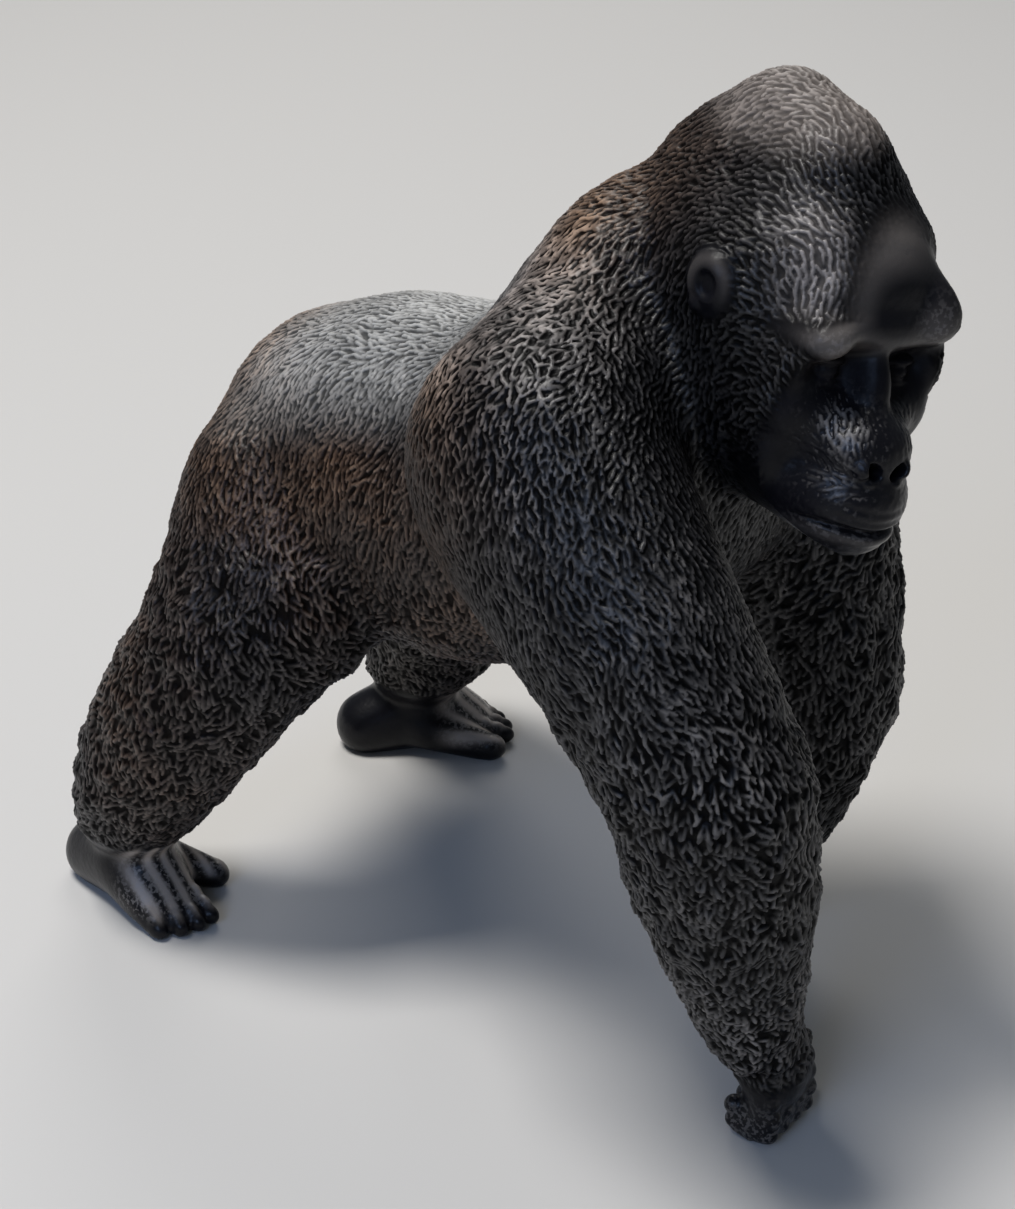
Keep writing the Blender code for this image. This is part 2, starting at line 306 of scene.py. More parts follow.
# %% Fine forms of the face
FINE_CREASE = 0.16
PAIRED_FINE_FORMS = [
    ((3.2, -2.05, 0.0), (1.0, 1.15, 0.8)),
    ((3.2, -2.1, 0.8), (1.5, 1.2, 0.45)),
    ((3.2, -2.2, -0.75), (1.4, 1.15, 0.42)),
    ((1.75, 1.5, -5.7), (1.0, 2.4, 1.2)),
    ((1.2, 1.6, -6.7), (0.9, 2.2, 0.45)),
]
MOUTH_AT, MOUTH_HALF, MOUTH_DEPTH, MOUTH_WIDTH = -10.4, 4.3, 0.8, 0.28
MOUTH_MIDDLE, MOUTH_BOW, MOUTH_BOW_RATE = 0.1, 0.1, 1.1
NOSTRIL_AT, NOSTRIL_HALF, NOSTRIL_DEPTH, NOSTRIL_SLANT = (1.08, -5.75), (0.72, 0.72), 1.5, 0.35
WRINKLES = [(-9.5, 3.4, 0.12), (-8.7, 2.8, 0.1), (-11.7, 3.0, 0.12)]


def between_cells(side, up):
    """The softened forms at each (side, up), read between the grid's cells."""
    across = np.clip((side - wax_sides[0]) / WAX_GRID, 0, len(wax_sides) - 1.001)
    along = np.clip((up - wax_ups[0]) / WAX_GRID, 0, len(wax_ups) - 1.001)
    i, j = along.astype(int), across.astype(int)
    u, v = along - i, across - j
    lower = wax[i, j] * (1 - v) + wax[i, j + 1] * v
    upper = wax[i + 1, j] * (1 - v) + wax[i + 1, j + 1] * v
    return lower * (1 - u) + upper * u


def face_front(side, up):
    """How far ahead the face lies at each (side, up), in millimetres."""
    front = soft_maximum([between_cells(side, up), *fronts(side, up, paired(PAIRED_FINE_FORMS))], FINE_CREASE)
    bow = MOUTH_BOW * np.cos(MOUTH_BOW_RATE * side)
    for line, half, depth in [(MOUTH_AT, MOUTH_HALF, MOUTH_DEPTH), *WRINKLES]:
        groove = np.exp(-(((up - line + bow) / MOUTH_WIDTH) ** 2))
        front -= depth * groove * (1 - smooth_step(0.8, 1.08, np.abs(side - MOUTH_MIDDLE) / half))
    slant = NOSTRIL_SLANT * (up - NOSTRIL_AT[1])
    for mirror in (LEFT, RIGHT):
        middle = (mirror * (NOSTRIL_AT[0] + slant), NOSTRIL_AT[1])
        front -= NOSTRIL_DEPTH * oval_share(side, up, middle, NOSTRIL_HALF, (0.5, 1.05))
    return front


lips_front = face_front(np.zeros(1), np.full(1, MOUTH_AT))
print("the lips meet", round(float(lips_front[0]), 1), "mm ahead of the eyes")

# %% [markdown]
# ## Sliding the skin onto the face
#
# The points of the mask are slid along the face's own direction until they lie on the forms. The skin stays
# closed that way, where a separate face would leave a seam, and the mask's soft edge leads into the head.

# %% Shaping the face
FACE_MIDDLE, FACE_HALF, FACE_EDGE = (0, -2.6), (7.8, 12.4), (0.92, 1.08)
FACE_DEPTHS = (-7.5, -5.5)


def shape_face(piece):
    """Slides the mask's points onto the face, and says how many there are."""
    points = points_of(piece)
    side, ahead, up = to_part(points, face_frame).T
    mask = oval_share(side, up, FACE_MIDDLE, FACE_HALF, FACE_EDGE) * smooth_step(*FACE_DEPTHS, ahead)
    forward = np.array(face_frame.to_3x3() @ on_part((0, 1, 0)))
    put_points(piece, points + forward[None, :] * ((face_front(side, up) - ahead) * mask)[:, None])
    return int((mask > 0.5).sum())


print("points in the face:", shape_face(skin))

# %% [markdown]
# ## Toes and fingers
#
# The first skin has them only roughly. Each toe and each bent finger is a chain of stretched spheres, added
# as by hand at their size and place. They could be extruded from the skin, but spheres that overlap give
# the rounded knuckles of a moulding, and the next remesh fuses them.

# %% Toes and fingers
FIRST_TOE, TOE_STEP = -1.5, 1.62
TOE_START, TOE_END, TOE_TIP = 4.6, 9.5, 1
LONGEST_TOE, TOE_SHORTENING, TOE_HALF = 0.5, 0.28, 1.25
TOE_JOINTS = [(0, 2.3, 0.82), (0.4, 2.2, 0.8), (0.75, 1.6, 0.76), (1, 0.9, 0.8)]
BIG_TOE_HALF, BIG_TOE_START = (1.35, 1.7, 1.4), (-2.6, 0, 2.6)
BIG_TOE_END = {LEFT: (-4.3, 6.8, 1.3), RIGHT: (-5.8, 4.2, 1.3)}
FIRST_FINGER, FINGER_STEP, FINGER_HALF = -2.7, 1.8, 0.86
FINGER_JOINTS = [
    (1.4, 6.2, 1.1),
    (1.9, 4.6, 0.98),
    (2.1, 3.0, 0.95),
    (1.8, 1.3, 1.0),
    (0.3, 0.8, 0.92),
    (-1.3, 1.3, 0.9),
    (-1.5, 2.7, 0.85),
]
THUMB_SIDE, THUMB_HALF, THUMB_JOINTS = -4.0, (1.0, 1.15, 1.2), [(0.4, 6.4), (0.8, 4.8), (1.0, 3.4)]
extras = []


def keep_form(turned, place, half):
    """Gives the new primitive its place and half sizes, measured in a turned frame."""
    made = bpy.context.object
    stretch = Matrix.Diagonal((*[length * MM for length in half], 1))
    made.matrix_world = turned @ Matrix.Translation(on_part(place)) @ stretch
    extras.append(made)


def ball(turned, place, half):
    bpy.ops.object.select_all(action="DESELECT")
    bpy.ops.mesh.primitive_uv_sphere_add(segments=24, ring_count=14, radius=1)
    keep_form(turned, place, half)


def ground_frame(joint, turn, side):
    """A foot's or a hand's own directions, from the ground under its joint."""
    under = Matrix.Translation(in_scene((joint[0], joint[1], 0)))
    return under @ Matrix.Rotation(math.radians(turn), 4, "Z") @ Matrix.Diagonal((side, 1, 1, 1))


def add_toes(foot, big_toe_end):
    for toe in range(4):
        out = FIRST_TOE + TOE_STEP * toe
        length = TOE_END - TOE_SHORTENING * (toe - LONGEST_TOE) ** 2 - (TOE_START + TOE_TIP)
        for share, rise, half in TOE_JOINTS:
            ball(foot, (out + 0.1 * share, TOE_START + length * share, rise), (half, TOE_HALF, half + 0.15))
    for share in (0, 0.5, 1):
        place = [start + (end - start) * share for start, end in zip(BIG_TOE_START, big_toe_end)]
        ball(foot, place, BIG_TOE_HALF)


def add_fingers(hand):
    for finger in range(4):
        for ahead, up, half in FINGER_JOINTS:
            ball(hand, (FIRST_FINGER + FINGER_STEP * finger, ahead, up), (FINGER_HALF, half, half))
    for ahead, up in THUMB_JOINTS:
        ball(hand, (THUMB_SIDE, ahead, up), THUMB_HALF)


FEET = {LEFT: ground_frame((20.5, 0), 44, LEFT), RIGHT: ground_frame((-17, -3.6), -5, RIGHT)}
HANDS = {LEFT: ground_frame((11.5, 45.5), 5, LEFT), RIGHT: ground_frame((-8, 61.2), 0, RIGHT)}
for side in (LEFT, RIGHT):
    add_toes(FEET[side], BIG_TOE_END[side])
    add_fingers(HANDS[side])
print("spheres in the toes and fingers:", len(extras))

# %% [markdown]
# ## Ears
#
# An ear is a small flat ring with a lobe below it and a knob at its front, and its middle is pressed in. A
# torus gives the ring at once. It faces outwards and a little ahead, as on the real one.

# %% Ears
EAR_AT = {LEFT: (8.9, -10.4, 5.0), RIGHT: (-9.3, -8.6, 5.0)}
EAR_TURN = 30
EAR_RING, EAR_RING_THICKNESS = (1.8, 1.5, 1.7), 0.24
EAR_BALLS = [((1.7, -0.7, 0), (0.9, 0.8, 0.7)), ((0.3, 0.9, 0), (1.0, 0.5, 0.7))]
EAR_REACH = (2.4, 2.6, 2.9)
EAR_HOLLOW = 0.6


def ear_frame(side):
    """An ear's own directions: along it, across it and out of the head."""
    upright = head_frame @ Matrix.Translation(on_part(EAR_AT[side]))
    turned = upright @ Matrix.Rotation(math.radians(-EAR_TURN * side), 4, "Z")
    return turned @ Matrix.Rotation(math.pi / 2, 4, "Y")


EAR_FRAMES = {side: ear_frame(side) for side in (LEFT, RIGHT)}
for turned_ear in EAR_FRAMES.values():
    bpy.ops.object.select_all(action="DESELECT")
    bpy.ops.mesh.primitive_torus_add(
        major_radius=1, minor_radius=EAR_RING_THICKNESS, major_segments=32, minor_segments=12
    )
    keep_form(turned_ear, (0, 0, 0), EAR_RING)
    for place, half in EAR_BALLS:
        ball(turned_ear, place, half)
print("small forms in all:", len(extras))

# %% [markdown]
# ## One fused skin
#
# The small forms are joined to the skin and remeshed with it in finer cubes, which fuses everything and
# makes room for hair. The remesh rounds the face a little, so it is shaped once more, and each ear is then
# hollowed.

# %% Fusing
for extra in extras:
    extra.select_set(True)
skin.select_set(True)
bpy.context.view_layer.objects.active = skin
bpy.ops.object.join()
applied(skin, "REMESH", mode="VOXEL", voxel_size=SKIN_VOXEL)
applied(skin, "SMOOTH", factor=0.5, iterations=2)
print("points in the face:", shape_face(skin))


def from_ear(points, side):
    """Distance from an ear's middle: 1 on its ring, and far more for points beside the ear."""
    along, across, out = to_part(points, EAR_FRAMES[side]).T
    return np.hypot(along / EAR_RING[0], across / EAR_RING[1]) + 9 * (np.abs(out) > 3)


points = points_of(skin)
for side in (LEFT, RIGHT):
    inwards = -side * np.array(EAR_FRAMES[side].to_3x3() @ Vector((0, 0, 1)))
    points += (EAR_HOLLOW * MM * (1 - smooth_step(0.3, 0.75, from_ear(points, side))))[:, None] * inwards
points[:, 2] = np.maximum(points[:, 2], 0)
put_points(skin, points)
print("the fused skin has", len(points), "points")

# %% [markdown]
# ## Where the skin is bare
#
# Hair stops at the face, the ears, the hands and the feet. One number per point, from 0 in the hair to 1 on
# bare skin, drives both the relief and the paint. Beside the nose the bare skin still has short low
# strands.

# %% Bare skin
BARE_OVALS = [
    ((0, -4.2), (7.0, 9.6), (0.92, 1.08)),
    ((1.0, 5.5), (5.6, 6.8), (0.6, 1.15)),
    ((0, 2.7), (7.6, 2.0), (0.85, 1.1)),
]
BARE_DEPTHS = (-6.5, -4.5)
FOOT_TOP, HAND_TOP, HANDS_FROM = (7.8, 9.2), (5.2, 6.8), 30
STUBBLE_SPOTS = [((3.0, 1, -3.2), (3.0, 6, 2.8), 1.3), ((3.0, 2, -7.2), (3.2, 6, 3.2), 0.9)]


def bare_share(points):
    """1 on the face, the ears, the hands and the feet, and 0 in the hair."""
    side, ahead, up = to_part(points, face_frame).T
    ovals = [oval_share(side, up, *oval) for oval in BARE_OVALS]
    bare = np.max(ovals, axis=0) * smooth_step(*BARE_DEPTHS, ahead)
    skull = to_part(points, head_frame)
    for side in (LEFT, RIGHT):
        away = np.linalg.norm((skull - EAR_AT[side]) / EAR_REACH, axis=1)
        bare = np.maximum(bare, 1 - smooth_step(0.7, 1.1, away))
    body = to_body(points)
    feet = (1 - smooth_step(*FOOT_TOP, body[:, 2])) * (body[:, 1] < HANDS_FROM)
    hands = (1 - smooth_step(*HAND_TOP, body[:, 2])) * (body[:, 1] > HANDS_FROM)
    return np.clip(bare + feet + hands, 0, 1)


def stubble_share(points):
    """1 beside the nose and on the muzzle."""
    return np.clip(spots(to_part(points, face_frame), paired(STUBBLE_SPOTS)), 0, 1)


points = points_of(skin)
bare = bare_share(points)
print("bare share of the skin:", round(float(bare.mean()), 3))

# %% [markdown]
# ## The way the hair runs
#
# The hair follows a few lines through the body: over the head and along the back, down each flank and down
# each limb. The direction at a place is the mean of all the lines' directions, the near lines counting
# most.

# %% Hair lines
OVER_HEAD = [(-6, 66, 72), (-5.5, 64, 80), (-3.5, 56, 86)]
ALONG_BACK = [(0, 46, 76), (0, 36, 66), (0, 20, 60), (0, 6, 55), (0, -3, 44)]
FLANK_LINES = [
    [(13, 24, 56), (17, 20, 46), (13, 18, 34), (2, 18, 30)],
    [(14, 34, 60), (18, 31, 48), (12, 28, 34), (2, 28, 32)],
    [(6, 58, 52), (6, 52, 44), (4, 44, 38)],
]
LIMB_LINES = [
    [(10, 46, 66), (14, 43, 57), (15, 48, 41), (15.5, 49, 28), (13.8, 47.8, 20), (12.5, 46.5, 8)],
    [(-10, 46, 67), (-16, 43, 58), (-19, 54, 48), (-18.5, 61, 38), (-16, 61, 28), (-11, 61, 10)],
    [(10, 9, 52), (12, 10, 42), (15, 12, 34), (18, 6, 22), (20, 2, 14), (20.5, 0, 6)],
    [(-10, 9, 52), (-12, 10, 42), (-14, 12, 34), (-17, 4, 23), (-17.5, -1, 14), (-17, -4, 6)],
]
NEAREST, FALLING_OFF = 0.5, 4
hair_lines = [OVER_HEAD + ALONG_BACK]
for mirror in (LEFT, RIGHT):
    hair_lines += [[(mirror * place[0], *place[1:]) for place in line] for line in FLANK_LINES]
hair_lines += LIMB_LINES


def hair_way(points, normals):
    """The unit direction of the hair at each point, along the surface."""
    total = np.zeros_like(points)
    for line in hair_lines:
        places = [np.array(in_scene(place)) for place in line]
        for start, end in zip(places, places[1:]):
            along = end - start
            length = np.linalg.norm(along)
            share = np.clip((points - start) @ along / length**2, 0, 1)
            away = np.linalg.norm(points - start - share[:, None] * along, axis=1)
            total += (along / length)[None, :] / (away[:, None] / MM + NEAREST) ** FALLING_OFF
    total -= np.sum(total * normals, axis=1)[:, None] * normals
    return total / np.maximum(np.linalg.norm(total, axis=1), 1e-12)[:, None]


print("hair lines:", len(hair_lines))

# %% [markdown]
# ## Kinds of hair
#
# The hair differs from place to place: tufted and loose on the limbs, shortest on the head, and curled on
# top of the shoulders. Each kind is a soft share of a place on the body.

# %% Kinds of hair


def limb_share(points):
    """1 on the arms and legs, where the hair is coarse and tufted, and 0 on the trunk and head."""
    side, ahead, up = to_body(points).T
    height = up - 5 * smooth_step(25, 40, ahead)
    return (1 - smooth_step(36, 46, height)) * smooth_step(5, 10, np.abs(side))


def fine_share(points):
    """1 on the head, where the hair is shortest."""
    side, ahead, up = to_part(points, head_frame).T
    return smooth_step(-24, -12, ahead) * smooth_step(-14, -6, up)


def curl_share(points):
    """1 in the middle of the curls on top of each shoulder."""
    side, ahead, up = to_body(points).T
    return np.exp(-(((np.abs(side + 0.5) - 15.5) / 7) ** 2) - ((ahead - 41) / 8) ** 2 - ((up - 69) / 7) ** 2)


def shares_of_hair(points):
    """How much the hair at each point is of the limbs, of the head and of the curls."""
    return limb_share(points), fine_share(points), curl_share(points)


print("mean shares of the kinds of hair:", [round(float(kind.mean()), 2) for kind in shares_of_hair(points)])

# %% [markdown]
# ## Roots of the hair
#
# Modelled one by one, tens of thousands of strands would be too many pieces, and a hair system would not be
# a closed skin. So strands are only laid out as numbers. Their roots are scattered over the skin so that no
# two are closer than one gap, and each strand has its own way, length, width, height and bend.

# %% Strands
STRAND_GAP = 0.46 * MM
STRAND_LENGTH = 1.35 * MM
STRAND_WIDTH = 0.5 * MM
STRAND_SWERVE = 24  # degrees, which the turns below are shares of
SWIRL_WIDTH = 4.5 * MM
LOOSE_TURN, SWIRL_TURN = 0.6, 1.6
MISSING_ON_LIMBS = 0.2
LENGTH_RANGE, WIDTH_RANGE, HEIGHT_RANGE, BEND_RANGE = (0.75, 1.2), (0.85, 1.15), (0.75, 1), (-0.4, 0.4)


def scattered(points, gap, seed):
    """Numbers of points picked at random, none nearer to another than the gap."""
    order = np.random.default_rng(seed).permutation(len(points))
    cells = np.floor(points / gap).astype(np.int64)
    taken = {}
    picked = []
    around = [(i, j, k) for i in (-1, 0, 1) for j in (-1, 0, 1) for k in (-1, 0, 1)]
    for number in order:
        x, y, z = cells[number]
        place = points[number]
        free = True
        for i, j, k in around:
            other = taken.get((x + i, y + j, z + k))
            if other is None:
                continue
            apart = (other[0] - place[0]) ** 2 + (other[1] - place[1]) ** 2 + (other[2] - place[2]) ** 2
            if apart < gap * gap:
                free = False
                break
        if free:
            taken[(x, y, z)] = place
            picked.append(number)
    return np.array(picked)


def laid_strands(points, normals):
    """The strands' roots, and each one's way, way across, length, width, height and bend."""
    random = np.random.default_rng(7)
    seeds = scattered(points, STRAND_GAP, 3)
    seeds = seeds[random.uniform(0, 1, len(seeds)) > MISSING_ON_LIMBS * limb_share(points[seeds])]
    roots = points[seeds]
    coarse, fine, curly = shares_of_hair(roots)
    facing = normals[seeds]
    way = hair_way(roots, facing)
    across = np.cross(facing, way)
    swirl = np.array([noise.noise(Vector(root) / SWIRL_WIDTH) for root in roots])
    swerve = random.normal(0, LOOSE_TURN, len(roots)) + SWIRL_TURN * swirl
    turn = np.radians(STRAND_SWERVE) * swerve * (1 + 0.6 * coarse + 1.3 * curly)
    cos, sin = np.cos(turn)[:, None], np.sin(turn)[:, None]
    way, across = way * cos + across * sin, across * cos - way * sin
    length = STRAND_LENGTH * random.uniform(*LENGTH_RANGE, len(roots)) * (1 - 0.1 * coarse - 0.2 * fine)
    width = STRAND_WIDTH * random.uniform(*WIDTH_RANGE, len(roots)) * (1 + 0.1 * coarse - 0.1 * fine)
    height = random.uniform(*HEIGHT_RANGE, len(roots))
    bend = random.uniform(*BEND_RANGE, len(roots)) * (1 + 0.5 * coarse + 1.2 * curly)
    return roots, way, across, length, width, height, bend


normals = normals_of(skin)
strands = laid_strands(points, normals)
print("strands of hair:", len(strands[0]))

# %% [markdown]
# ## Relief of the hair
#
# Each strand is a small ridge, rounded across and pointed at its tip, a little higher at the tip than at
# the root, and it waves. A point of the skin is raised by the highest strand that covers it, which leaves
# sharp creases between the strands, as in a mould.

# %% Relief
NEAR_STRANDS = 9
WAVE = 0.5
POINTEDNESS, THINNEST = 3.2, 0.05
CROWN_ROUNDNESS = 0.7
MIDDLE_RISE, TIP_RISE = 0.72, 0.5
STRAND_ENDS = (0.38, 0.56)


def strand_relief(points, strands):
    """How high the strands stand at each point, from 0 to 1."""
    roots, way, across, length, width, height, bend = strands
    tree = kdtree.KDTree(len(roots))
    for number, root in enumerate(roots):
        tree.insert(root, number)
    tree.balance()
    near = np.array([[found[1] for found in tree.find_n(point, NEAR_STRANDS)] for point in points])
    relief = np.zeros(len(points))
    for column in near.T:
        offset = points - roots[column]
        u = np.sum(offset * way[column], axis=1) / length[column]
        w = np.sum(offset * across[column], axis=1) / width[column]
        w = w + bend[column] * np.sin(math.pi * u) * WAVE
        taper = np.clip(1 - np.clip(u, 0, 1) ** 2 * POINTEDNESS, THINNEST, 1)
        crown = np.clip(1 - (2 * w / np.sqrt(taper)) ** 2, 0, 1) ** CROWN_ROUNDNESS
        ends = 1 - smooth_step(*STRAND_ENDS, np.abs(u))
        relief = np.maximum(relief, height[column] * crown * (MIDDLE_RISE + TIP_RISE * u) * ends)
    return relief


relief = strand_relief(points, strands)
print("mean relief:", round(float(relief.mean()), 3))

# %% [markdown]
# ## Raising the hair
#
# The points go out or in by the relief, about its mean, so that the body keeps its size. Tufts, which are
# broad soft lumps, go under the strands of the limbs. Nothing is raised on bare skin but the stubble, nor
# at the ground, where the feet and fists stand flat.

# %% Raising the hair
STRAND_HEIGHT = 0.36 * MM
TUFT_HEIGHT = 0.42 * MM
TUFT_WIDTH = 2.0 * MM
STUBBLE_HEIGHT = 0.13 * MM
MEAN_RELIEF = 0.45
FLAT_BELOW = 1.2
coarse = limb_share(points)
tufts = np.array([noise.noise(Vector(point) / TUFT_WIDTH) for point in points])
raised = relief - MEAN_RELIEF
strand_lift = raised * (1 - 0.2 * fine_share(points)) * (1 + 0.5 * tufts * coarse) * STRAND_HEIGHT
tuft_lift = tufts * (0.25 + 0.75 * coarse) * TUFT_HEIGHT
stubble = stubble_share(points) * bare
lift = (strand_lift + tuft_lift) * (1 - bare) + raised * STUBBLE_HEIGHT * stubble
lift *= smooth_step(0, FLAT_BELOW, to_body(points)[:, 2])
put_points(skin, points + normals * lift[:, None])
print("the skin moves by", round(float(lift.min() / MM), 2), "to", round(float(lift.max() / MM), 2), "mm")

# %% [markdown]
# ## Where the paint lies on the hair
#
# The real one was painted in patches: silver on the saddle, light on the crest of the head and beside the
# forehead, brown on the flanks, rump and nape, and a dry brush that wore off in places. Each patch is a
# soft share of a place on the body or the head, which repeats exactly and has no edge.

# %% Paint on the hair
WARM_SPOTS = [
    ((-14, 30, 42), (16, 16, 16), 1.2),
    ((-22, 37, 56), (10, 9, 16), 1.2),
    ((0, 3, 50), (30, 14, 16), 1.3),
    ((-21, 5, 24), (14, 14, 20), 0.8),
    ((-13, 15, 50), (13, 11, 9), 1.2),
    ((13, 15, 50), (13, 11, 9), 1.2),
    ((-5, 42, 78), (14, 12, 10), 1.5),
    ((14, 30, 42), (16, 16, 16), 1.2),
    ((22, 5, 24), (14, 14, 20), 0.8),
]
WORN_EVERYWHERE = 0.34
WORN_SPOTS = [
    ((-15, 40, 68), (14, 13, 13), 1.5),
    ((12, 40, 68), (14, 13, 13), 1.2),
    ((0, 6, 54), (22, 12, 12), 0.6),
    ((-22, 62, 42), (10, 10, 18), 0.3),
    ((-13, 63, 16), (10, 8, 14), 0.4),
    ((-23, 37, 56), (9, 8, 14), -0.6),
]
STRIP_SPOT = ((-5.9, -3, 7.6), (2.4, 7, 6.0), 1.2)
BAND_SPOT = ((-1, -6, 13.9), (9, 5, 2.2), 1.0)
SHADE_SPOTS = [((9, -8, -2), (8, 14, 18), 1.3)]
SADDLE_MIDDLE, SADDLE_HALF, SADDLE_FROM, SADDLE_SLOPE, SLOPE_AT = 17, 12, (50, 58), 0.3, 16
CAP_FROM, CAP_EDGE, CAP_SLOPE, CAP_DEPTHS = 15.4, 1.4, 0.24, (-24, -13)

body = to_body(points)
head = to_part(points, head_frame)
face = to_part(points, face_frame)
saddle_edge = smooth_step(*SADDLE_FROM, body[:, 2] + SADDLE_SLOPE * (SLOPE_AT - body[:, 1]))
saddle = np.exp(-(((body[:, 1] - SADDLE_MIDDLE) / SADDLE_HALF) ** 4)) * saddle_edge
side, ahead, up = head.T
above_cap_edge = up - CAP_FROM - CAP_SLOPE * side
cap = smooth_step(-CAP_EDGE, CAP_EDGE, above_cap_edge) * smooth_step(*CAP_DEPTHS, ahead)
band = blob(head, *BAND_SPOT)
unbanded = 1 - 0.7 * band
# Painted shade: the sides of the head keep little of the light brush and of the warm wash.
shade = np.clip(spots(head, paired(SHADE_SPOTS)), 0, 1)
worn = spots(body, WORN_SPOTS, WORN_EVERYWHERE) * ((1 - 0.85 * shade) * (1 - 0.8 * band))
warm = spots(body, WARM_SPOTS) * (1 - 0.9 * shade)
print("mean share of worn paint:", round(float(worn.mean()), 3))

# %% [markdown]
# ## Where the paint lies on the skin
#
# On bare skin the light paint is of two kinds. It is rubbed onto what stands out, such as the brow, the
# toes and the ears' rims, and on the tops of the toes and the upper rims of the ears it is partly a painted
# highlight. It lies as dust beside the nose, round the mouth, and on the toes and knuckles. The eye sockets
# and the sides of the face stay dark and dull.

# %% Paint on the skin
DUST_SPOTS = [
    ((-5.2, 1, 2.8), (2.4, 5, 1.6), 0.25),
    ((4.2, 1, 4.2), (2.6, 5, 2.6), 0.25),
    ((-2.6, 1, -3.4), (2.8, 5, 2.4), 0.7),
    ((-2.6, 2, -7.4), (2.6, 5, 2.8), 0.25),
    ((-1.5, 2, -10.8), (3.4, 5, 0.7), 0.3),
    ((0, 1, -12.6), (3.4, 5, 1.2), 0.15),
]
RUBBED_SPOTS = [
    ((-5.3, 1, 2.7), (2.8, 5, 2.0), 0.32),
    ((3.6, 1, 4.0), (3.0, 5, 2.4), 0.22),
    ((-1, 1, 2.5), (4.0, 5, 1.2), 0.12),
    ((-1.0, -2, 10.2), (5.5, 7, 3.8), 0.34),
    ((-4.2, -1, 6.0), (2.8, 6, 5.0), 0.3),
    ((0.6, -1, 5.6), (3.4, 5, 3.2), -0.12),
    ((-2.0, 2, -11.2), (3.4, 5, 0.6), 0.16),
]
SOCKET_SPOTS = [((2.6, -1, -0.4), (3.2, 5, 3.0), 1.6)]
TOES_RUBBED_AND_HIGHLIGHT, TOES_DUSTED, KNUCKLES_DUSTED, EARS_RUBBED_AND_HIGHLIGHT = 1.5, 0.5, 0.3, 0.12
FOOT_REACH, UPPER_FOOT, RUBBED_AND_HIGHLIGHT_AHEAD, DUSTED_AHEAD = (10, 12), (1.4, 3.0), (0.5, 5.5), (0.5, 5.0)
HAND_REACH, KNUCKLE_HEIGHTS = (4.5, 6.0), (1.5, 6.0)
EAR_RIM, EAR_RIM_WIDTH, EAR_TOP = 1.05, 0.28, (3, 6)

dust, rubbed_and_highlight = spots(face, DUST_SPOTS), spots(face, RUBBED_SPOTS)
sockets = np.clip(spots(face, paired(SOCKET_SPOTS)), 0, 1)
for side in (LEFT, RIGHT):
    foot = to_part(points, FEET[side])
    on_foot = 1 - smooth_step(*FOOT_REACH, np.linalg.norm(foot, axis=1))
    upper = smooth_step(*UPPER_FOOT, foot[:, 2]) * on_foot
    # Rubbed paint and painted highlight: light streaks along the tops of the toes, on their upper side only.
    rubbed_and_highlight_streaks = (0.5 + 0.5 * np.cos(2 * math.pi * (foot[:, 0] - FIRST_TOE) / TOE_STEP)) ** 1.5
    dust += TOES_DUSTED * smooth_step(*DUSTED_AHEAD, foot[:, 1]) * upper
    rubbed_and_highlight += TOES_RUBBED_AND_HIGHLIGHT * rubbed_and_highlight_streaks * smooth_step(*RUBBED_AND_HIGHLIGHT_AHEAD, foot[:, 1]) * upper
    # Rubbed paint and painted highlight: the upper half of each ear's rim is painted lighter.
    rim = np.exp(-(((from_ear(points, side) - EAR_RIM) / EAR_RIM_WIDTH) ** 2))
    rubbed_and_highlight += EARS_RUBBED_AND_HIGHLIGHT * rim * smooth_step(*EAR_TOP, head[:, 2])
    hand = to_part(points, HANDS[side])
    on_hand = 1 - smooth_step(*HAND_REACH, np.hypot(hand[:, 0], hand[:, 1]))
    dust += KNUCKLES_DUSTED * (1 - smooth_step(*KNUCKLE_HEIGHTS, hand[:, 2])) * on_hand
print("mean share of rubbed paint:", round(float((rubbed_and_highlight * bare).mean()), 3))

# %% [markdown]
# ## Marks for the paint
#
# The paint depends on where a point lies and on how high its strand stands. Both are kept as attributes of
# the skin before it is cut and thinned out, because attributes go with the points and an image would need
# seams.

# %% Attributes


def mark(piece, name, values):
    made = piece.data.attributes.new(name, "FLOAT", "POINT")
    made.data.foreach_set("value", values.astype(np.float32))


hairy = 1 - bare
for name, values in (
    ("bare", bare),
    ("tips", relief * np.maximum(hairy, stubble)),
    ("saddle", saddle * hairy),
    ("crest", np.clip(cap * unbanded, 0, 1) * hairy),
    ("strip", np.clip(blob(face, *STRIP_SPOT) * unbanded, 0, 1) * hairy),
    ("warm", warm * hairy),
    ("worn", worn * hairy),
    ("dust", dust * bare),
    ("rubbed_and_highlight", rubbed_and_highlight * bare),
    ("sheen", bare * (1 - sockets) * (1 - 0.7 * shade)),
):
    mark(skin, name, np.clip(values, 0, 1))
    print("mean share of", name, round(float(np.clip(values, 0, 1).mean()), 3))

# %% [markdown]
# ## Seven closed pieces
#
# The real one is a single moulding. Its skin has too many triangles for one piece, so it is cut by planes
# through the neck, the waist, the arms, the thighs and the middle: head, shoulders, two arms, rump and two
# legs. Each piece is closed on its cut faces.

# %% Cutting the skin
CUTS = {
    "neck": ((-2, 52, 64), (0, 0.75, 0.66)),
    "waist": ((0, 27, 0), (0, 1, 0)),
    "arms": ((0, 0, 42), (0, 0, 1)),
    "thighs": ((0, 0, 36), (0, 0, 1)),
    "middle": ((0, 0, 0), (1, 0, 0)),
}
CUT_WITHIN = 1e-7


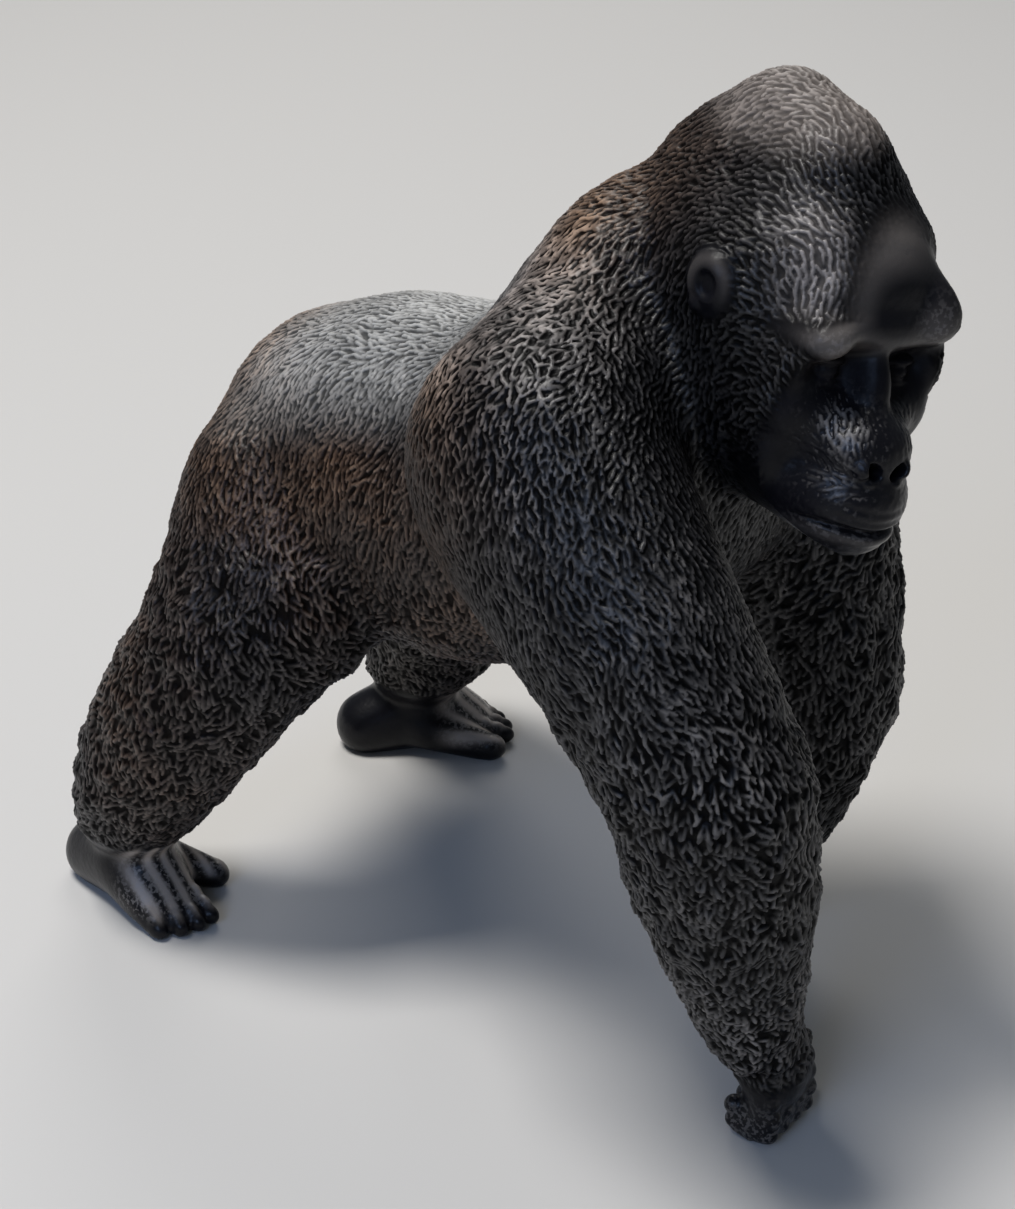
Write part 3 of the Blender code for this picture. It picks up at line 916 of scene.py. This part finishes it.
def cut_in_two(piece, front_name, back_name, cut):
    """Two closed pieces, one ahead of the cut's plane and one behind it."""
    place, facing = in_scene(CUTS[cut][0]), on_part(CUTS[cut][1]).normalized()
    other = piece.copy()
    other.data = piece.data.copy()
    bpy.context.scene.collection.objects.link(other)
    for half, name, ahead in ((piece, front_name, True), (other, back_name, False)):
        half.name = name
        alone(half)
        bpy.ops.object.mode_set(mode="EDIT")
        bpy.ops.mesh.select_all(action="SELECT")
        cleared = {"clear_inner": ahead, "clear_outer": not ahead}
        bpy.ops.mesh.bisect(plane_co=place, plane_no=facing, use_fill=True, threshold=CUT_WITHIN, **cleared)
        bpy.ops.object.mode_set(mode="OBJECT")
    return piece, other


head_piece, trunk = cut_in_two(skin, "gorilla_head", "gorilla_trunk", "neck")
fore, hind = cut_in_two(trunk, "gorilla_fore", "gorilla_hind", "waist")
shoulders, arms = cut_in_two(fore, "gorilla_shoulders", "gorilla_arms", "arms")
rump, legs = cut_in_two(hind, "gorilla_rump", "gorilla_legs", "thighs")
left_arm, right_arm = cut_in_two(arms, "gorilla_left_arm", "gorilla_right_arm", "middle")
left_leg, right_leg = cut_in_two(legs, "gorilla_left_leg", "gorilla_right_leg", "middle")
pieces = [head_piece, shoulders, left_arm, right_arm, rump, left_leg, right_leg]
print("pieces:", [piece.name for piece in pieces])

# %% [markdown]
# ## Thinning out
#
# A piece may have just under 200,000 triangles. Decimate takes away those that matter least, and the points
# beside a cut are left as they are, so that the pieces still meet without a seam.

# %% Thinning out
MOST_TRIANGLES = 197000
KEPT_BESIDE_CUT = 0.7 * MM


def from_cut(points, cut):
    place, facing = in_scene(CUTS[cut][0]), on_part(CUTS[cut][1]).normalized()
    return (points - np.array(place)) @ np.array(facing)


def triangles_of(piece):
    piece.data.calc_loop_triangles()
    return len(piece.data.loop_triangles)


for piece in pieces:
    many = triangles_of(piece)
    if many > MOST_TRIANGLES:
        points = points_of(piece)
        beside = np.min([np.abs(from_cut(points, cut)) for cut in CUTS], axis=0) < KEPT_BESIDE_CUT
        group = piece.vertex_groups.new(name="thinned")
        group.add([int(number) for number in np.nonzero(~beside)[0]], 1, "REPLACE")
        applied(piece, "DECIMATE", ratio=MOST_TRIANGLES / many, vertex_group="thinned")
        piece.vertex_groups.clear()
    print(piece.name, many, "triangles, then", triangles_of(piece))

# %% [markdown]
# ## Shading
#
# The skin is shaded smooth. Only the edges round the cut faces are sharp, because a smooth edge there would
# bend the light beside each cut and show it as a line.

# %% Shading
ON_CUT = 1e-6
for piece in pieces:
    alone(piece)
    bpy.ops.object.shade_smooth()
    points = points_of(piece)
    sharp = np.zeros(len(piece.data.edges), bool)
    on_cut = np.min([np.abs(from_cut(points, cut)) for cut in CUTS], axis=0) < ON_CUT
    on_caps = {}
    for flat in piece.data.polygons:
        if on_cut[flat.vertices[0]] and all(on_cut[number] for number in flat.vertices):
            for edge in piece.data.loops[flat.loop_start : flat.loop_start + flat.loop_total]:
                on_caps[edge.edge_index] = on_caps.get(edge.edge_index, 0) + 1
    sharp[[edge for edge, times in on_caps.items() if times == 1]] = True
    edges = piece.data.attributes.new("sharp_edge", "BOOLEAN", "EDGE")
    edges.data.foreach_set("value", sharp)
    print(piece.name, "sharp edges round its cuts:", int(sharp.sum()))

# %% [markdown]
# ## Nodes for the paint
#
# One plastic covers all the pieces, and its paint is a graph of nodes. A few helpers let the graph be
# written as layers, each mixed over the one before by a share. The patterns read Object coordinates, so
# that they stay in place on the pieces.

# %% Helpers for nodes
plastic = bpy.data.materials.new("painted_plastic")
plastic.use_nodes = True
shader = plastic.node_tree.nodes["Principled BSDF"]


def node(kind, **settings):
    made = plastic.node_tree.nodes.new(kind)
    for name, value in settings.items():
        setattr(made, name, value)
    return made


def put(value, socket):
    """Sets a socket to a number or a colour, or links another socket to it."""
    if isinstance(value, (int, float)):
        socket.default_value = value
    elif isinstance(value, tuple):
        socket.default_value = (*value, 1)
    else:
        plastic.node_tree.links.new(value, socket)


def attribute(name):
    return node("ShaderNodeAttribute", attribute_name=name).outputs["Fac"]


def worked(operation, *values):
    made = node("ShaderNodeMath", operation=operation)
    for socket, value in zip(made.inputs, values):
        put(value, socket)
    return made.outputs[0]


def times(*values):
    total = values[0]
    for value in values[1:]:
        total = worked("MULTIPLY", total, value)
    return total


def eased(share, value):
    """The value, where only this share of it counts and the rest is 1."""
    return worked("MULTIPLY_ADD", value, share, 1 - share)


def ramp(value, low, high):
    made = node("ShaderNodeMapRange", interpolation_type="SMOOTHSTEP")
    for name, number in (("Value", value), ("From Min", low), ("From Max", high)):
        put(number, made.inputs[name])
    return made.outputs["Result"]


def mixed(factor, under, over):
    made = node("ShaderNodeMix", data_type="RGBA")
    for name, value in (("Factor", factor), ("A", under), ("B", over)):
        put(value, made.inputs[name])
    return made.outputs["Result"]


def clouds(scale, detail):
    made = node("ShaderNodeTexNoise")
    for name, value in (("Scale", scale), ("Detail", detail), ("Vector", where)):
        put(value, made.inputs[name])
    return made.outputs["Fac"]


where = node("ShaderNodeTexCoord").outputs["Object"]
tops = ramp(attribute("tips"), 0.3, 0.8)
patches = ramp(clouds(130, 3), 0.38, 0.66)
print("nodes so far:", len(plastic.node_tree.nodes))

# %% [markdown]
# ## Layers of paint on the hair
#
# The base is near black, and painted blacker in the grooves as painted shade. A warm wash lies over it in
# places, with painted shade in its grooves too. The light dry brush catches only the tops of the strands, and
# the crest, the strip beside the forehead and the silver saddle are brushed on thicker, so that they reach a
# little into the grooves.

# %% Hair paint
BASE_PAINTED_SHADE, BASE_LIGHT = (0.0012, 0.0012, 0.0014), (0.013, 0.013, 0.0145)
WARM_PAINTED_SHADE, WARM_LIGHT = (0.006, 0.0032, 0.002), (0.058, 0.031, 0.018)
BRUSH_GREY, BRUSH_TAN = (0.29, 0.27, 0.26), (0.36, 0.235, 0.155)
CREST_GREY, STRIP_GREY, SADDLE_SILVER = (0.28, 0.24, 0.215), (0.27, 0.245, 0.235), (0.42, 0.42, 0.41)

flecks = ramp(clouds(900, 2), 0.44, 0.60)
# Painted shade: the base goes from near black in the grooves to dark grey on the tops of the strands.
colour = mixed(tops, BASE_PAINTED_SHADE, BASE_LIGHT)
wash = times(attribute("warm"), eased(0.5, patches))
# Painted shade: the warm wash is also darker in the grooves than on the tops.
colour = mixed(wash, colour, mixed(tops, WARM_PAINTED_SHADE, WARM_LIGHT))
brushed = ramp(worked("MULTIPLY_ADD", attribute("worn"), 0.25, attribute("tips")), 0.6, 0.9)
brush = times(attribute("worn"), brushed, eased(0.6, flecks), eased(0.6, patches))
colour = mixed(brush, colour, mixed(attribute("warm"), BRUSH_GREY, BRUSH_TAN))
colour = mixed(times(attribute("crest"), eased(0.6, tops), eased(0.3, patches)), colour, CREST_GREY)
colour = mixed(times(attribute("strip"), eased(0.8, tops)), colour, STRIP_GREY)
colour = mixed(times(attribute("saddle"), eased(0.8, tops), eased(0.3, patches)), colour, SADDLE_SILVER)
print("nodes with the hair's paint:", len(plastic.node_tree.nodes))

# %% [markdown]
# ## Layers of paint on the skin
#
# Bare skin is black plastic, light where it is rubbed and where a highlight is painted on the toes and the
# ears' rims. Dust sits on the tips of the stubble, and as fine specks where the skin is smooth.

# %% Skin paint
SKIN_BLACK, SKIN_RUBBED_AND_HIGHLIGHT, SKIN_DUST = (0.004, 0.004, 0.006), (0.32, 0.285, 0.26), (0.30, 0.28, 0.27)

smooth_skin = worked("SUBTRACT", 1, ramp(attribute("tips"), 0, 0.2))
specks = times(ramp(clouds(2600, 2), 0.47, 0.60), smooth_skin)
# Rubbed paint, and painted highlights on the toes and the ears' rims, in one light colour.
skin_colour = mixed(attribute("rubbed_and_highlight"), SKIN_BLACK, SKIN_RUBBED_AND_HIGHLIGHT)
skin_colour = mixed(times(attribute("dust"), worked("MAXIMUM", tops, specks)), skin_colour, SKIN_DUST)
put(mixed(attribute("bare"), colour, skin_colour), shader.inputs["Base Color"])
print("nodes with the skin's paint:", len(plastic.node_tree.nodes))

# %% [markdown]
# ## Gloss and grain
#
# The grooves are dull and the tops of the strands shine a little, because the brush polishes them. Bare
# skin is glossier. A bump of a few hundredths of a millimetre gives the paint its grain, which is too fine
# to model.

# %% Gloss and grain
ROUGHNESS, SKIN_SMOOTHNESS = 0.42, 0.10
GROOVE_SHINE, TOP_SHINE, SKIN_SHINE = 0.06, 0.35, 0.16
GRAIN_STRENGTH, GRAIN_HEIGHT = 0.5, 0.06 * MM
FINE_GRAIN, DUST_GRAIN, LEAST_DUST_GRAIN = 1800, 2200, 0.15

put(worked("SUBTRACT", ROUGHNESS, times(attribute("sheen"), SKIN_SMOOTHNESS)), shader.inputs["Roughness"])
hair_shine = worked("MULTIPLY_ADD", tops, TOP_SHINE, GROOVE_SHINE)
shine = worked("ADD", hair_shine, times(attribute("sheen"), SKIN_SHINE))
put(shine, shader.inputs["Specular IOR Level"])
dusty = worked("ADD", attribute("dust"), LEAST_DUST_GRAIN)
grain = worked("ADD", clouds(FINE_GRAIN, 3), times(dusty, clouds(DUST_GRAIN, 1), 2.0))
bump = node("ShaderNodeBump")
for name, value in (("Strength", GRAIN_STRENGTH), ("Distance", GRAIN_HEIGHT), ("Height", grain)):
    put(value, bump.inputs[name])
put(bump.outputs["Normal"], shader.inputs["Normal"])
print("nodes in the whole paint:", len(plastic.node_tree.nodes))

# %% [markdown]
# ## Painting the pieces
#
# All seven pieces wear the one plastic. They ride on the root, because the figurine has no joints, and the
# solid whose place they take is hidden.

# %% Pieces
for piece in pieces:
    piece.data.materials.clear()
    piece.data.materials.append(plastic)
    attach(piece, "root")
    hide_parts("gorilla")
print("painted", len(pieces), "pieces")

# %% [markdown]
# ## The stage
#
# The figurine stands on a plain pale floor, which fills the picture from the photograph's side.

# %% Stage
FLOOR_WIDTH = 6
FLOOR_COLOUR, FLOOR_ROUGHNESS = (0.55, 0.54, 0.525, 1), 0.9
bpy.ops.object.select_all(action="DESELECT")
bpy.ops.mesh.primitive_plane_add(size=FLOOR_WIDTH)
floor = bpy.context.object
floor.name = "floor"
floor_paint = bpy.data.materials.new("pale_floor")
floor_paint.use_nodes = True
floor_shader = floor_paint.node_tree.nodes["Principled BSDF"]
floor_shader.inputs["Base Color"].default_value = FLOOR_COLOUR
floor_shader.inputs["Roughness"].default_value = FLOOR_ROUGHNESS
floor.data.materials.append(floor_paint)
print("the floor is", FLOOR_WIDTH, "m wide")

# %% [markdown]
# ## Lights
#
# The key light is broad and high, so that the shadows are soft and lie near the body. A weak bluish fill
# comes from its right, and a third light from behind draws the edge of the back. The view transform is
# Standard, which keeps the paint's darkest and lightest colours apart.

# %% Lights
WARM_WHITE, BLUISH = (1, 0.98, 0.95), (0.42, 0.6, 1)
LIGHTS_AIM = Vector((0, 0, 0.045))
SKY_COLOUR, SKY_STRENGTH = (0.85, 0.92, 1, 1), 0.16


def soft_light(name, place, size, power, colour):
    """A square area light of this size and power, aimed at the figurine."""
    lamp = bpy.data.lights.new(name, "AREA")
    lamp.color = colour
    lamp.size = size
    lamp.energy = power
    holder = bpy.data.objects.new(name, lamp)
    bpy.context.scene.collection.objects.link(holder)
    holder.location = place
    holder.rotation_euler = (LIGHTS_AIM - holder.location).to_track_quat("-Z", "Y").to_euler()


soft_light("key", (-0.12, 0.10, 0.60), 0.18, 3.4, WARM_WHITE)
soft_light("fill", (-0.5, -0.1, 0.35), 0.25, 0.8, BLUISH)
soft_light("rim", (0.35, 0.30, 0.40), 0.3, 0.9, WARM_WHITE)
world = bpy.data.worlds.new("studio")
world.use_nodes = True
sky = world.node_tree.nodes["Background"]
sky.inputs["Color"].default_value = SKY_COLOUR
sky.inputs["Strength"].default_value = SKY_STRENGTH
bpy.context.scene.world = world
bpy.context.scene.view_settings.view_transform = "Standard"
print("lights:", len(bpy.data.lights))

# %% [markdown]
# ## Camera
#
# The photograph was taken from near by, so the lens and the distance both matter. The camera's direction,
# height, distance and focal length were fitted to the points where the feet and the fist touch the floor.
# The focal length is in pixels of the photograph, and its longer side turns it into a lens.

# %% Camera
CAMERA_TARGET = (3.38, 24.85, 32)
CAMERA_DISTANCE = 230 * MM
CAMERA_TURN = 52
CAMERA_RISE = 29
PHOTO_LONG_SIDE = 1209
FOCAL_PIXELS = 2600
camera_data = bpy.data.cameras.new("camera")
camera_data.sensor_width = 36
camera_data.lens = camera_data.sensor_width * FOCAL_PIXELS / PHOTO_LONG_SIDE
camera_data.clip_start = 0.01
camera = bpy.data.objects.new("camera", camera_data)
bpy.context.scene.collection.objects.link(camera)
turn, rise = math.radians(CAMERA_TURN), math.radians(CAMERA_RISE)
towards = Vector((-math.sin(turn) * math.cos(rise), -math.cos(turn) * math.cos(rise), math.sin(rise)))
camera.location = in_scene(CAMERA_TARGET) + towards * CAMERA_DISTANCE
camera.rotation_euler = towards.to_track_quat("Z", "Y").to_euler()
bpy.context.scene.camera = camera
print("the camera is at", [round(part / MM) for part in camera.location], "mm")
